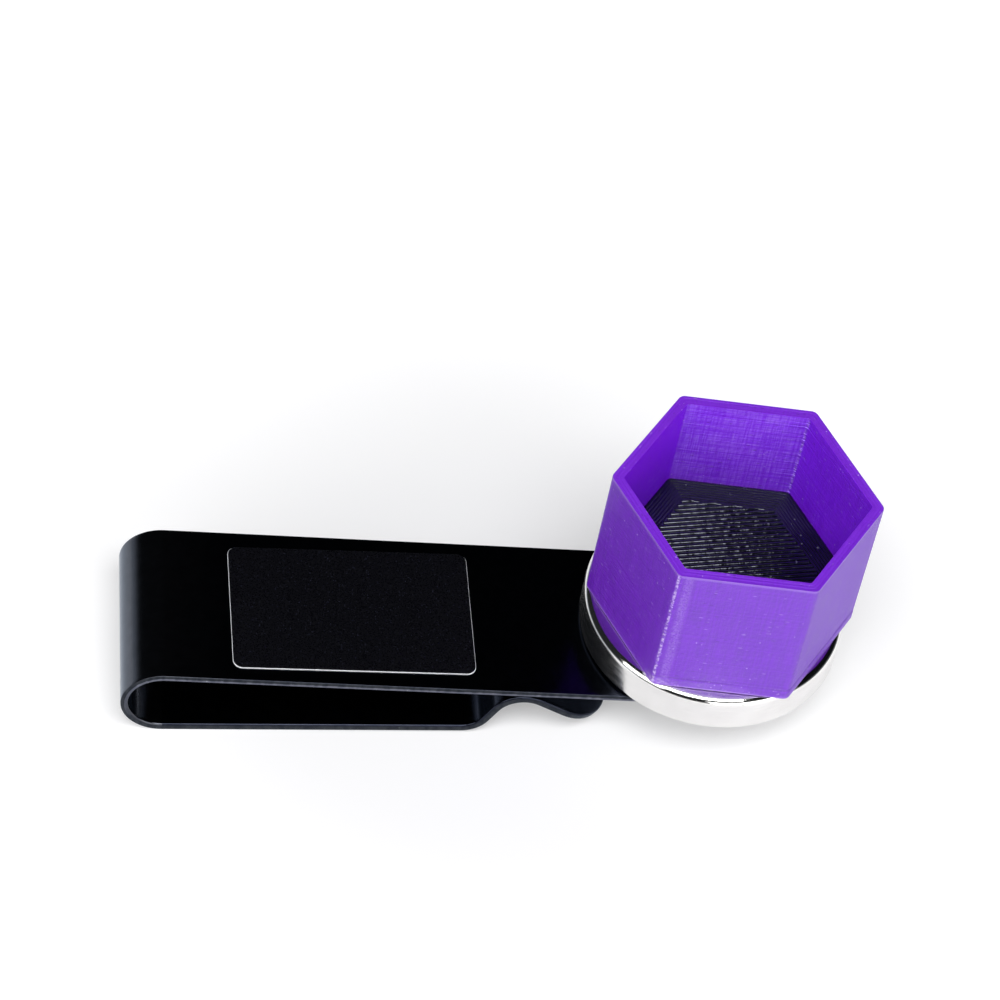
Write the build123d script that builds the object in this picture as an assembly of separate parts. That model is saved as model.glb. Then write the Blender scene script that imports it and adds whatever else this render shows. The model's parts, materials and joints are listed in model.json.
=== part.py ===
from build123d import *
import os
from math import asin, atan2, cos, degrees, hypot, radians, sin

# Cue-chalk holder worn on a belt: a folded spring-steel clip with a label, a disc magnet that clings to
# the clip, and a printed hexagonal cup bonded to the magnet. Sizes are in millimetres, angles in degrees.
#
# The pieces are drawn in the clip plate's own frame: X along the clip towards the magnet, Y across it,
# Z square to the plate, and the origin on the plate's top face at the magnet's axis. At the end the whole
# holder is tipped and moved to where it lies on a table, with the origin under the middle of its box.

# Spring clip: one strip folded into a plate, a round bend and a springy leaf with an S-shaped end.
sheet = 0.9
strip_width = 21.5
end_corner_radius = 6.2
bend_outer_radius = 4.78
plate_to_bend = 62.3
plate_past_magnet_axis = 2.0
leaf_closing_angle = 3.48
leaf_flat_length = 33.9
knee_radius = 3.05
rise_angle = 62.8
crest_radius = 3.6
crest_gap = 0.1
lip_angle = 29.1
lip_length = 9.45

# Label: adhesive, white film and black printed face, stuck on a little askew.
label_length = 27.6
label_side_margin = 1.95
label_from_bend = 7.3
label_off_middle = -0.05
label_corner_radius = 1.1
label_skew = 1.1
adhesive_thickness = 0.04
film_thickness = 0.10
print_thickness = 0.04
print_margin = 0.12

# Disc magnet, sold as a standard 30 by 5.
magnet_diameter = 30.0
magnet_thickness = 5.0
magnet_edge_radius = 0.87

# Printed cup: a hexagonal shell with a floor, and a hexagonal insert that raises the chalk.
chalk_across_flats = 24.0
chalk_clearance = 0.15
cup_wall = 1.24
cup_height = 18.9
cup_floor = 1.4
cup_corner_radius = 0.9
pocket_corner_radius = 0.4
cup_turn = -5.2
cup_offset = (0.5, -0.1)
insert_height = 4.9
insert_clearance = 0.1
bond_thickness = 0.1
bond_inset = 0.3


def strip_outline(start, heading, runs):
    """XZ outline of a sheet whose middle line runs from start, with the outline's under edges.

    A run is ("flat", length) or ("bend", middle radius, turn), where a positive turn bends upwards.
    """

    def offset_point(x, z, angle, side):
        shift = side * sheet / 2
        return (x - shift * sin(radians(angle)), z + shift * cos(radians(angle)))

    x, z = start
    under, over = [], []
    for kind, *sizes in runs:
        stations = [(x, z, heading)]
        if kind == "flat":
            x += sizes[0] * cos(radians(heading))
            z += sizes[0] * sin(radians(heading))
            stations.append((x, z, heading))
        else:
            radius, turn = sizes
            side = 1 if turn > 0 else -1
            centre_x = x - side * radius * sin(radians(heading))
            centre_z = z + side * radius * cos(radians(heading))
            for _ in range(2):
                heading += turn / 2
                x = centre_x + side * radius * sin(radians(heading))
                z = centre_z - side * radius * cos(radians(heading))
                stations.append((x, z, heading))
        draw = Line if kind == "flat" else ThreePointArc
        for edges, side in ((under, -1), (over, 1)):
            edges.append(draw(*[offset_point(*station, side) for station in stations]))
    caps = [Line(under[0] @ 0, over[0] @ 0), Line(under[-1] @ 1, over[-1] @ 1)]
    return make_face(under + over + caps), under


def across_strip(outline):
    """Solid of the strip's full width, centred on the clip's middle plane."""
    return extrude(Plane.XZ * outline, amount=strip_width / 2, both=True)


def round_free_end(solid):
    """Round the two corners at the strip's free end, the end furthest along X."""
    end_face = solid.faces().sort_by(Axis.X)[-1]
    short_edges = end_face.edges().sort_by(SortBy.LENGTH)[:2]
    return fillet(short_edges, end_corner_radius)


def hexagon_prism(across_flats, height, corner_radius):
    """Upright hexagonal prism on z = 0, standing where the cup stands and turned as the cup is."""
    prism = extrude(RegularPolygon(across_flats / 2, 6, major_radius=False), height)
    prism = fillet(prism.edges().filter_by(Axis.Z), corner_radius)
    return Pos(*cup_offset, 0) * Rot(0, 0, cup_turn) * prism


def label_sheet(inset, base, thickness):
    """Rounded rectangle of the label, smaller by the inset on every side, lying at the given height."""
    outline = RectangleRounded(label_length - 2 * inset, label_width - 2 * inset, label_corner_radius - inset)
    return Pos(label_x, label_off_middle, base) * Rot(0, 0, label_skew) * extrude(outline, thickness)


# Clip, folded from the plate's bend end round to the leaf.
bend_middle_radius = bend_outer_radius - sheet / 2
bend_x = -plate_to_bend
bend_z = -bend_outer_radius
plate_start = (bend_x, -sheet / 2)
plate_outline, _ = strip_outline(plate_start, 0, [("flat", plate_to_bend + plate_past_magnet_axis)])
bend_outline, _ = strip_outline(plate_start, 180, [("bend", bend_middle_radius, 180 + leaf_closing_angle)])

# The rise is as long as it takes for the crest to stop just short of the plate's underside.
leaf_start = (
    bend_x + bend_middle_radius * sin(radians(leaf_closing_angle)),
    bend_z - bend_middle_radius * cos(radians(leaf_closing_angle)),
)
crest_middle_height = -sheet - crest_gap - sheet / 2
knee_climb = knee_radius * (cos(radians(leaf_closing_angle)) - cos(radians(rise_angle)))
crest_climb = crest_radius * (1 - cos(radians(rise_angle)))
flat_climb = leaf_flat_length * sin(radians(leaf_closing_angle))
rise_climb = crest_middle_height - leaf_start[1] - flat_climb - knee_climb - crest_climb
leaf_runs = [
    ("flat", leaf_flat_length),
    ("bend", knee_radius, rise_angle - leaf_closing_angle),
    ("flat", rise_climb / sin(radians(rise_angle))),
    ("bend", crest_radius, -rise_angle - lip_angle),
    ("flat", lip_length),
]
leaf_outline, leaf_under = strip_outline(leaf_start, leaf_closing_angle, leaf_runs)

# The label leaves an even margin along both sides of the strip and starts just past the bend.
label_width = strip_width - 2 * label_side_margin
label_x = bend_x + label_from_bend + label_length / 2

# Seats of the stacked pieces above the plate's top face.
bond_base = magnet_thickness
cup_base = bond_base + bond_thickness
insert_base = cup_base + cup_floor
pocket_across_flats = chalk_across_flats + 2 * chalk_clearance
cup_across_flats = pocket_across_flats + 2 * cup_wall
magnet_flat_radius = magnet_diameter / 2 - magnet_edge_radius

magnet_blank = extrude(Circle(magnet_diameter / 2), magnet_thickness)
cup_blank = hexagon_prism(cup_across_flats, cup_height, cup_corner_radius)
pocket = hexagon_prism(pocket_across_flats, cup_height, pocket_corner_radius)
bond_blank = hexagon_prism(cup_across_flats - 2 * bond_inset, bond_thickness, cup_corner_radius)
insert_corner_radius = pocket_corner_radius - insert_clearance

pieces = {
    "clip_plate": round_free_end(across_strip(plate_outline)),
    "clip_bend": across_strip(bend_outline),
    "clip_leaf": round_free_end(across_strip(leaf_outline)),
    "label_adhesive": label_sheet(0, 0, adhesive_thickness),
    "label_film": label_sheet(0, adhesive_thickness, film_thickness),
    "label_print": label_sheet(print_margin, adhesive_thickness + film_thickness, print_thickness),
    "magnet_disc": fillet(magnet_blank.edges(), magnet_edge_radius),
    "cup_bond": Pos(0, 0, bond_base) * (bond_blank & extrude(Circle(magnet_flat_radius), bond_thickness)),
    "cup_shell": Pos(0, 0, cup_base) * (cup_blank - Pos(0, 0, cup_floor) * pocket),
    "cup_insert": Pos(0, 0, insert_base)
    * hexagon_prism(pocket_across_flats - 2 * insert_clearance, insert_height, insert_corner_radius),
}

# The holder lies on the round of its bend and on the end of its lip, so it tips by the angle of the line
# that touches both, and the origin goes to the table under the middle of the holder's box.
lip_foot = leaf_under[-1] @ 1
foot_x, foot_z = lip_foot.X - bend_x, lip_foot.Y - bend_z
rest_tilt = degrees(atan2(foot_z, foot_x) + asin(bend_outer_radius / hypot(foot_x, foot_z)))
tip = Rot(0, rest_tilt, 0)
tipped_box = Compound([tip * piece for piece in pieces.values()]).bounding_box()
to_table = Pos(-tipped_box.center().X, -tipped_box.center().Y, -tipped_box.min.Z) * tip

os.makedirs("parts", exist_ok=True)
for name, piece in pieces.items():
    export_step(to_table * piece, f"parts/{name}.step")
print("rest tilt", round(rest_tilt, 3), "box", tipped_box.size)
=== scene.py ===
# %% [markdown]
# A cue-chalk holder worn on a belt
#
# The real holder is a folded strip of black spring steel with a label on it, a disc magnet that clings to
# the strip, and a printed hexagonal cup glued to the magnet. Its solids were drawn in CAD and packed, and
# they arrive here as a fixed frame in metres. The lesson builds each visible piece again as a finer mesh
# over its solid, gives it a finish, and lights it like a small product on a white table.

# %% Load the frame
import json
from math import cos, pi, radians, sin

import bmesh
import bpy
import numpy as np
from mathutils import Matrix, Vector


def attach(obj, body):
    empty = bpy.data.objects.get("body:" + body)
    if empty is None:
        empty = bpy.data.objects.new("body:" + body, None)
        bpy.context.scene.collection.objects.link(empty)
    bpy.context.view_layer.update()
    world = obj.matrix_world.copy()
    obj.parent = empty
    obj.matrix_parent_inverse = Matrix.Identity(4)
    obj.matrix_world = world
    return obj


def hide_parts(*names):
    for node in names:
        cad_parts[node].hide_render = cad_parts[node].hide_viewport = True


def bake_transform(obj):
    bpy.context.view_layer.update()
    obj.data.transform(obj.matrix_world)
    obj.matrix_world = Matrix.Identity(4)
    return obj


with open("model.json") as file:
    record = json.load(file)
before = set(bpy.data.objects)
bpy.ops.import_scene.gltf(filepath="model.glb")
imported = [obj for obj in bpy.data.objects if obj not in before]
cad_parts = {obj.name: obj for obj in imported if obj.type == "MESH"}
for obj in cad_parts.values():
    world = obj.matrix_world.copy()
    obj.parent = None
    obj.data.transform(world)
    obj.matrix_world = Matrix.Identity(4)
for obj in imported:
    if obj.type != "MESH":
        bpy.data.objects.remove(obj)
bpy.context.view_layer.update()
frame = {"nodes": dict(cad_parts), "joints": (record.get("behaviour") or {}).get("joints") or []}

print("CAD nodes:", sorted(frame["nodes"]))

# %% [markdown]
# The plate's own frame
#
# The holder lies on a table a little tipped, but a maker measures it square to the clip's flat plate. So
# every piece is drawn in the plate's frame, in millimetres: X along the clip towards the magnet, Y across
# it, Z square to the plate, and zero on the plate's top at the magnet's axis. One matrix, read from the
# frame's joints, carries a finished mesh to the table.

# %% Find the plate's frame
MM = 0.001
magnet_thickness = 5.0
joints = {joint["name"]: joint for joint in frame["joints"]}
plate_up = Vector(joints["pull_off"]["axis"])
plate_along = Vector((0, 1, 0)).cross(plate_up)
plate_turn = Matrix((plate_along, (0, 1, 0), plate_up)).transposed()
plate_zero = Vector(joints["cup_turn"]["pos_m"]) - plate_up * magnet_thickness * MM
plate_to_table = Matrix.Translation(plate_zero) @ plate_turn.to_4x4() @ Matrix.Scale(MM, 4)
print("plate zero on the table, mm:", [round(value / MM, 2) for value in plate_zero])

# %% [markdown]
# The camera
#
# The photograph was taken through a long lens, from in front and a little to the left, looking down by
# about half a right angle. Its edges were matched to the plate's frame, which gives where the eye was,
# where it looked and how far the picture was turned to set the clip level.

# %% Set the camera
eye = Vector((-105.52, -353.06, 428.79))
looks_at = Vector((-23.04, 17.73, 0.0))
picture_turn = radians(12.28)
lens_length = 177.0

camera_data = bpy.data.cameras.new("camera")
camera_data.lens = lens_length
camera = bpy.data.objects.new("camera", camera_data)
bpy.context.scene.collection.objects.link(camera)
bpy.context.scene.camera = camera
level_view = (looks_at - eye).to_track_quat("-Z", "Y").to_matrix()
turned_view = plate_turn @ level_view @ Matrix.Rotation(picture_turn, 3, "Z")
camera.matrix_world = Matrix.Translation(plate_to_table @ eye) @ turned_view.to_4x4()
print("camera distance, m:", round((eye - looks_at).length * MM, 3))

# %% [markdown]
# Outlines
#
# The label, the cup and its insert are all flat outlines with rounded corners, carried upwards. One
# helper lays out such an outline and says which way each point faces, so that the outline can be moved in
# or out. It is tried here on a small square, whose length is easy to check by hand.

# %% Round a polygon's corners
def facing_out(side):
    """Direction square to a side and outwards, for a polygon that runs counter-clockwise."""
    return np.array([side[1], -side[0]]) / np.linalg.norm(side)


def arc_centre(corner, first, last, radius):
    """Centre of the arc that rounds a corner between two sides that face outwards as given."""
    middle = (first + last) / np.linalg.norm(first + last)
    return corner - middle * radius / (middle @ first)


def rounded_polygon(corners, radius, side_steps, corner_steps):
    """Rounded outline of a convex polygon, counter-clockwise from the middle of its first corner.

    Returns the points, their outward directions and the distance of each along the outline.
    """
    corners = np.asarray(corners, float)
    faces = [facing_out(side) for side in np.roll(corners, -1, axis=0) - corners]
    points, normals = [], []
    for index, corner in enumerate(corners):
        onward = (index + 1) % len(corners)
        first, last = faces[index - 1], faces[index]
        centre = arc_centre(corner, first, last, radius)
        start = np.arctan2(first[1], first[0])
        swing = np.arccos(np.clip(first @ last, -1, 1))
        for step in range(corner_steps + 1):
            angle = start + swing * step / corner_steps
            normals.append((np.cos(angle), np.sin(angle)))
            points.append(centre + radius * np.array(normals[-1]))
        side_start = points[-1]
        side_end = arc_centre(corners[onward], last, faces[onward], radius) + radius * last
        for step in range(1, side_steps):
            points.append(side_start + (side_end - side_start) * step / side_steps)
            normals.append(tuple(last))
    turn_back = -(corner_steps // 2)
    points, normals = np.roll(points, turn_back, axis=0), np.roll(normals, turn_back, axis=0)
    steps = np.linalg.norm(np.roll(points, -1, axis=0) - points, axis=1)
    return points, normals, np.concatenate([[0], np.cumsum(steps)])


trial_square = [(0, 0), (10, 0), (10, 10), (0, 10)]
trial_length = rounded_polygon(trial_square, radius=1, side_steps=2, corner_steps=12)[2][-1]
print("rounded square, mm:", round(trial_length, 2), "and by hand:", round(32 + 2 * pi, 2))

# %% [markdown]
# Stacks of rings
#
# A solid with a level outline is a stack of rings with a skin through them. Many close rings near an
# edge make it round. One helper moves an outline in and up, and one closes the skin.

# %% Ring and skin helpers
def ring(outline, inset, height):
    """Points of an outline moved inwards by the inset, at a height."""
    points, normals = outline[0], outline[1]
    return np.column_stack([points - normals * inset, np.full(len(points), height)])


def skin(rings):
    """Points and faces of a closed skin, from the first ring's underside to the last ring's top."""
    count = len(rings[0])
    around = np.arange(count)
    onward = (around + 1) % count
    faces = []
    for level in range(len(rings) - 1):
        low, high = level * count, (level + 1) * count
        faces += np.column_stack([low + around, low + onward, high + onward, high + around]).tolist()
    faces.append(list(range(count))[::-1])
    faces.append(list(range((len(rings) - 1) * count, len(rings) * count)))
    return np.concatenate(rings), faces


print("faces in a skin of three rings of four points:", len(skin([np.zeros((4, 3))] * 3)[1]))

# %% [markdown]
# From points to a piece
#
# Three more helpers turn points and faces into a piece. The first makes a smooth mesh. The second lets
# each point carry numbers, which a finish or a tree reads later by name. The last settles a finished
# piece: it goes to the table, stands for the CAD solid under it and rides with a moving body.

# %% Piece helpers
def make_piece(name, points, faces, material):
    """Smooth mesh object in the plate's frame, in millimetres."""
    mesh = bpy.data.meshes.new(name)
    mesh.from_pydata(np.asarray(points).tolist(), [], faces)
    mesh.polygons.foreach_set("use_smooth", np.ones(len(mesh.polygons), bool))
    mesh.materials.append(material)
    piece = bpy.data.objects.new(name, mesh)
    bpy.context.scene.collection.objects.link(piece)
    return piece


def carry(mesh, **numbers):
    """Let each point of a mesh carry numbers under their names, for its finish or its tree to read."""
    for name, values in numbers.items():
        mesh.attributes.new(name, "FLOAT", "POINT").data.foreach_set("value", np.asarray(values, float))


def settle(piece, slot, *nodes, body=None):
    """Carry a finished piece to the table, where it stands for its CAD nodes and rides with a body."""
    piece.data.transform(plate_to_table)
    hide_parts(*nodes)
    if body:
        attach(piece, body)
    print(piece.name, "stands for", ", ".join(nodes), "with", len(piece.data.polygons), "faces")


print("scale of a settled piece:", round(plate_to_table.to_scale().x, 6))

# %% [markdown]
# Nodes that read like sums
#
# Finishes and repeating shapes are both node trees: many small nodes, each doing one thing, wired in a
# row. Written out one by one, they hide what is being worked out. So one helper adds a node and wires its
# inputs, and a small class stands for what a node puts out. Adding or multiplying two of these adds the
# Math node for it.

# %% Node helpers
def put(tree, kind, inputs=None, **settings):
    """Add a node, apply its settings, and link or fill its inputs by name or number."""
    node = tree.nodes.new(kind)
    for name, value in settings.items():
        setattr(node, name, value)
    for key, value in (inputs or {}).items():
        if isinstance(value, bpy.types.Node):
            value = Reading(value)
        if isinstance(value, Reading):
            tree.links.new(value.socket, node.inputs[key])
        else:
            node.inputs[key].default_value = value
    return node


class Reading:
    """What a node puts out. Sums on it add Math nodes to the same tree."""

    def __init__(self, source):
        self.socket = source.outputs[0] if isinstance(source, bpy.types.Node) else source
        self.tree = self.socket.id_data

    def math(self, operation, *others):
        inputs = dict(enumerate((self, *others)))
        return Reading(put(self.tree, "ShaderNodeMath", inputs, operation=operation))

    def __add__(self, other):
        return self.math("ADD", other)

    def __sub__(self, other):
        return self.math("SUBTRACT", other)

    def __mul__(self, other):
        return self.math("MULTIPLY", other)

    def __truediv__(self, other):
        return self.math("DIVIDE", other)

    def __lt__(self, other):
        return self.math("LESS_THAN", other)

    def __gt__(self, other):
        return self.math("GREATER_THAN", other)

    def __abs__(self):
        return self.math("ABSOLUTE")


trial_tree = bpy.data.node_groups.new("trial", "ShaderNodeTree")
trial_value = Reading(put(trial_tree, "ShaderNodeValue"))
trial_sum = trial_value * 2.0 + 1.0
print("a trial sum ends in", trial_sum.socket.node.operation, "after", len(trial_tree.nodes), "nodes")

# %% [markdown]
# Longer sums
#
# Some sums come up again and again: the largest of several masks, a value carried smoothly from one
# range to another, a vector put together from its parts. Each gets a helper, so that a finish or a
# shape reads as a few short lines. The trial tree is taken away once it has been tried.

# %% Helpers for longer sums
def most(first, *others):
    """The largest of some readings."""
    for other in others:
        first = first.math("MAXIMUM", other)
    return first


def between(value, low, high, from_low=0.0, from_high=1.0):
    """Reading carried smoothly from one range to another and held at its ends."""
    ranges = {"Value": value, "From Min": from_low, "From Max": from_high, "To Min": low, "To Max": high}
    return Reading(put(value.tree, "ShaderNodeMapRange", ranges, interpolation_type="SMOOTHSTEP"))


def vector(tree, **parts):
    """Vector from its X, Y and Z, of which any that is left out is zero."""
    return Reading(put(tree, "ShaderNodeCombineXYZ", parts))


def vector_sum(operation, first, second):
    """Sum on two vectors, or on a vector and the number that scales it."""
    inputs = {0: first, "Scale" if operation == "SCALE" else 1: second}
    return put(first.tree, "ShaderNodeVectorMath", inputs, operation=operation)


trial_end = most(trial_sum, abs(trial_value - 3.0))
print("a longer one ends in", trial_end.socket.node.operation, "after", len(trial_tree.nodes), "nodes")
bpy.data.node_groups.remove(trial_tree)

# %% [markdown]
# Helpers for finishes
#
# A finish is one material with one Principled shader. What stays the same all over is set on the shader
# itself. What changes over the surface is wired in, most often a colour or a number blended by a mask.

# %% Material helpers
def new_material(name, **constants):
    """Material with one Principled shader, its constants set by name; returns material, tree, shader."""
    material = bpy.data.materials.new(name)
    material.use_nodes = True
    shader = material.node_tree.nodes["Principled BSDF"]
    for label, value in constants.items():
        shader.inputs[label.replace("_", " ")].default_value = value
    return material, material.node_tree, shader


def feed(node, **readings):
    """Wire readings into a node's inputs by name."""
    for label, reading in readings.items():
        reading.tree.links.new(reading.socket, node.inputs[label.replace("_", " ")])


def blend_colour(factor, first, second):
    """Colour that goes from the first to the second as the factor goes from 0 to 1."""
    first, second = ((*colour, 1) if isinstance(colour, tuple) else colour for colour in (first, second))
    node = put(factor.tree, "ShaderNodeMix", {0: factor, 6: first, 7: second}, data_type="RGBA")
    return Reading(node.outputs[2])


def blend_number(factor, first, second):
    """Number that goes from the first to the second as the factor goes from 0 to 1."""
    return Reading(put(factor.tree, "ShaderNodeMix", {0: factor, 2: first, 3: second}))


print("a finish is wired from:", [helper.__name__ for helper in (blend_colour, blend_number)])

# %% [markdown]
# Patterns that stay put
#
# Patterns are read from where a point lies on the piece, so they stay put when the piece moves. Places
# can be scaled unevenly, which draws a pattern out, as grinding draws out its marks. Other masks come
# from numbers that the mesh carries. A height too fine to be worth real geometry becomes a relief,
# which only turns the shading.

# %% Pattern helpers
def own_place(tree):
    """Where a point lies on the piece, in metres."""
    return Reading(put(tree, "ShaderNodeTexCoord").outputs["Object"])


def stretched(where, scale):
    """Places on the piece, scaled along X, Y and Z, so that a pattern on them is drawn out."""
    return Reading(put(where.tree, "ShaderNodeMapping", {"Vector": where, "Scale": scale}))


def carried(tree, name):
    """A number that the mesh carries under a name."""
    return Reading(put(tree, "ShaderNodeAttribute", attribute_name=name).outputs["Fac"])


def relief(height, depth):
    """Normal of a surface whose fine height, from 0 to 1, is as deep as the depth in metres."""
    inputs = {"Height": height, "Distance": depth, "Strength": 1.0}
    return Reading(put(height.tree, "ShaderNodeBump", inputs))


print("patterns come from:", [helper.__name__ for helper in (own_place, stretched, carried, relief)])

# %% [markdown]
# Grain
#
# Nearly every surface under a close lens has grain: the small unevenness of a rolled, plated or printed
# face, which spreads its reflections. It is a node group that puts out a mask, so every finish can use
# it in its own way. One helper starts a tree with named inputs, for this group and for those to come.

# %% Make the grain
PLACE, NUMBER, WHOLE = "NodeSocketVector", "NodeSocketFloat", "NodeSocketInt"


def new_tree(name, tree_kind, output, output_kind, **inputs):
    """Node tree with named inputs and one output; returns the tree, its inputs and its end node."""
    tree = bpy.data.node_groups.new(name, tree_kind)
    for label, kind in inputs.items():
        tree.interface.new_socket(label.replace("_", " "), in_out="INPUT", socket_type=kind)
    tree.interface.new_socket(output, in_out="OUTPUT", socket_type=output_kind)
    start = tree.nodes.new("NodeGroupInput")
    given = {socket.name: Reading(socket) for socket in start.outputs}
    return tree, given, tree.nodes.new("NodeGroupOutput")


grain_group, given, grain_end = new_tree(
    "grain", "ShaderNodeTree", "Grain", NUMBER, Where=PLACE, Per_Metre=NUMBER
)
grain_inputs = {"Vector": given["Where"], "Scale": given["Per Metre"], "Detail": 3.0}
noise = Reading(put(grain_group, "ShaderNodeTexNoise", grain_inputs))
feed(grain_end, Grain=between(noise, 0, 1, 0.3, 0.7))


def grain(where, per_metre):
    """Grain from 0 to 1 over the surface."""
    inputs = {"Where": where, "Per Metre": per_metre}
    return Reading(put(where.tree, "ShaderNodeGroup", inputs, node_tree=grain_group))


print("shared effect:", grain_group.name, "from", len(grain_group.nodes), "nodes")

# %% [markdown]
# Specks
#
# The other thing that turns up everywhere is specks: dust, chips and bright flecks that lie here and
# there. A Voronoi texture cuts space into cells. Each cell's random colour says whether it has a speck
# and how large, and the distance to the cell's middle draws it.

# %% Make the specks
speck_group, given, speck_end = new_tree(
    "specks", "ShaderNodeTree", "Specks", NUMBER, Where=PLACE, Per_Metre=NUMBER, Share=NUMBER
)
speck_inputs = {"Vector": given["Where"], "Scale": given["Per Metre"]}
cells = put(speck_group, "ShaderNodeTexVoronoi", speck_inputs).outputs
luck = put(speck_group, "ShaderNodeSeparateColor", {0: Reading(cells["Color"])}).outputs
speck_chosen = Reading(luck["Red"]) < given["Share"]
speck_reach = between(Reading(luck["Green"]), 0.15, 0.42)
speck_dot = between(Reading(cells["Distance"]) / speck_reach, 1, 0, 0.4, 1)
feed(speck_end, Specks=speck_chosen * speck_dot)


def specks(where, per_metre, share):
    """Mask of scattered specks, where the share is how many of the possible places have one."""
    inputs = {"Where": where, "Per Metre": per_metre, "Share": share}
    return Reading(put(where.tree, "ShaderNodeGroup", inputs, node_tree=speck_group))


print("shared effect:", speck_group.name, "from", len(speck_group.nodes), "nodes")

# %% [markdown]
# Black spring steel
#
# The strip is blanked from sheet, bent and blued black, so its coat is metal that gleams blue-grey at a
# slant. The fold's coat is painted paler than the flats', a painted sheen for the light it catches. Along
# the cut edges the shear left a smooth band and a torn one with a dark line between, and bright nicks
# where the steel shows. The pale torn tone and the dark line are painted only where the edge is lit, so
# the leaf's edges and the foot of the bend keep the dark burnished tone as painted shade. The mesh carries
# four numbers: cut, on the sheared edge; band, from one side of the sheet to the other; a mask of where
# the edge is painted as lit; and a mask of the fold's painted sheen.

# %% Finish the steel
clip_black, tree, shader = new_material("clip_black", Metallic=1.0, Specular_Tint=(0.86, 0.92, 1.0, 1))
where = own_place(tree)
cut, band, edge_in_light, painted_fold_sheen = (carried(tree, name) for name in ("cut", "band", "edge_in_light", "painted_fold_sheen"))
shear_marks = grain(stretched(where, (1.0, 1.0, 0.5)), 1700.0)
ragged_band = shear_marks * 0.10 + band
torn_side = between(ragged_band, 0, 1, 0.62, 0.72)
parting = between(ragged_band, 0, 1, 0.50, 0.58) * between(ragged_band, 1, 0, 0.64, 0.74)
nicks = specks(where, 2300.0, 0.08) * cut * torn_side

coat_grain = grain(where, 900.0)
flat_coat = blend_colour(coat_grain, (0.019, 0.022, 0.034), (0.026, 0.029, 0.042))
# Painted sheen: the fold's coat colour is paler than the flats' for the light the bend catches.
fold_sheen_colour = blend_colour(coat_grain, (0.062, 0.066, 0.078), (0.074, 0.078, 0.092))
burnished = blend_colour(shear_marks, (0.020, 0.023, 0.030), (0.042, 0.046, 0.054))
torn = blend_colour(shear_marks, (0.105, 0.110, 0.145), (0.170, 0.175, 0.220))
# Painted shade: edges not marked as lit, on the leaf and at the bend's foot, keep the burnished tone.
edge_colour = blend_colour(torn_side * edge_in_light, burnished, torn)
edge_colour = blend_colour(parting * edge_in_light * 0.7, edge_colour, (0.012, 0.013, 0.017))
steel_colour = blend_colour(cut, blend_colour(painted_fold_sheen, flat_coat, fold_sheen_colour), edge_colour)
coat_sheen = between(grain(where, 700.0), 0.18, 0.21)
feed(
    shader,
    Base_Color=blend_colour(nicks, steel_colour, (0.62, 0.64, 0.68)),
    Roughness=blend_number(cut, coat_sheen, 0.45),
    Normal=relief(shear_marks * cut, 4e-6),
)
print("finish:", clip_black.name, "from", len(tree.nodes), "nodes")

# %% [markdown]
# The strip's walk
#
# A fold in sheet metal keeps its length along the middle of the sheet, so the strip is drawn as a walk:
# straight runs and bends of a given middle radius. A flat outline is wrapped along the walk afterwards,
# as the press does it. A short last step in each run keeps the shading of a bend from spreading into
# the flat beside it.

# %% Walk helpers
flat_pieces = 8
degrees_a_piece = 3
least_bend_pieces = 6
last_step = 0.1


def strip_walk(start, heading, runs):
    """Stations along a strip's middle line as rows of distance, x, z and heading in degrees.

    A run is ("flat", length) or ("bend", middle radius, turn), where a positive turn bends upwards.
    """
    distance, (x, z) = 0.0, start
    rows = [(distance, x, z, heading)]
    for kind, *sizes in runs:
        ahead_x, ahead_z = cos(radians(heading)), sin(radians(heading))
        if kind == "flat":
            pieces, length, turn = flat_pieces, sizes[0], 0.0
        else:
            radius, turn = sizes
            pieces = max(least_bend_pieces, round(abs(turn) / degrees_a_piece))
            length = radius * radians(abs(turn))
        for part in [part / pieces for part in range(1, pieces)] + [1 - last_step / pieces, 1.0]:
            angle = heading + turn * part
            if turn:
                signed = radius if turn > 0 else -radius
                step_x = signed * (sin(radians(angle)) - ahead_z)
                step_z = -signed * (cos(radians(angle)) - ahead_x)
            else:
                step_x, step_z = length * part * ahead_x, length * part * ahead_z
            rows.append((distance + length * part, x + step_x, z + step_z, angle))
        distance, x, z, heading = rows[-1]
    return np.array(rows)


def wrap(walk, distances, across, heights):
    """Points of the flat strip, given as distance, across and height, wrapped along the walk."""
    x, z, angle = (np.interp(distances, walk[:, 0], walk[:, column]) for column in (1, 2, 3))
    lean = np.radians(angle)
    return np.column_stack([x - heights * np.sin(lean), across, z + heights * np.cos(lean)])


trial_walk = strip_walk((0.0, 0.0), 0.0, [("flat", 10.0), ("bend", 2.0, 90.0)])
print("a trial walk ends at distance, x, z, heading:", [round(value, 2) for value in trial_walk[-1]])

# %% [markdown]
# The plate's walk
#
# The first walk goes from the foot of the bend, round it and along the plate to the end that the magnet
# hides. The leaf under the plate closes towards it by a few degrees, so the bend turns by that much
# more than half a circle.

# %% Walk along the plate
sheet = 0.9
strip_width = 21.5
end_corner_radius = 6.2
bend_outer_radius = 4.78
plate_to_bend = 62.3
plate_past_magnet = 2.0
leaf_closing = 3.48
bend_middle = bend_outer_radius - sheet / 2
bend_x, bend_z = -plate_to_bend, -bend_outer_radius

closing = radians(leaf_closing)
leaf_start = (bend_x + bend_middle * sin(closing), bend_z - bend_middle * cos(closing))
fold_turn = 180 + leaf_closing
fold_length = bend_middle * radians(fold_turn)
plate_runs = [("bend", bend_middle, -fold_turn), ("flat", plate_to_bend + plate_past_magnet)]
plate_walk = strip_walk(leaf_start, fold_turn, plate_runs)
print("fold, mm:", round(fold_length, 2), "fold and plate, mm:", round(plate_walk[-1, 0], 2))

# %% [markdown]
# The strip's edge
#
# The rim of the flat strip is one open line of points: down one side, round the free end with its two
# corners and back up the other side. The sheet's edge is a small section: rounded slightly on the side
# where the punch pressed, and more on the other.

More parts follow.
